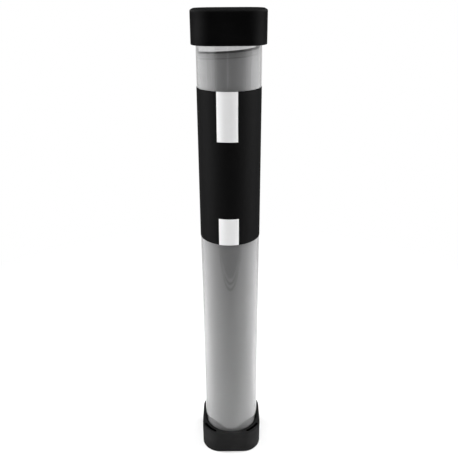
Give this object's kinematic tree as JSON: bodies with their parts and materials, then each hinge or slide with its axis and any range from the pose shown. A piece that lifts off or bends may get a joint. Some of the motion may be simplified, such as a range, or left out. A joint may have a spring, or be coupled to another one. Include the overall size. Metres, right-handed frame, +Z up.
{
  "type": "playmat tube",
  "caption": "Clear round storage tube with square push-on end caps, a sleeve label and a mat rolled up inside.",
  "frame": {"origin": "middle of the lower cap's closed end, on the surface that the tube stands on", "axes": "+Z up along the tube, -Y towards the front of the label, +X to the right of it"},
  "size_m": [0.0526, 0.0526, 0.378],
  "materials": {
    "clear_plastic": "clear, glossy",
    "cap_plastic": "black, satin, moulded",
    "label_black": "black printed, satin",
    "label_white": "white printed, satin",
    "mat_grey": "grey, smooth cloth face on a rubber back"
  },
  "bodies": {
    "foot": {"foot_cap": "cap_plastic"},
    "tube": {"tube": "clear_plastic", "label": "label_black", "label_print": "label_white", "rolled_mat": "mat_grey"},
    "top": {"top_cap": "cap_plastic"}
  },
  "joints": [
    {"name": "tube_lift", "type": "slide", "parent": "foot", "child": "tube", "axis": [0, 0, 1], "range_m": [0, 0.03]},
    {"name": "top_cap_pull", "type": "slide", "parent": "tube", "child": "top", "axis": [0, 0, 1], "range_m": [0, 0.03]}
  ]
}
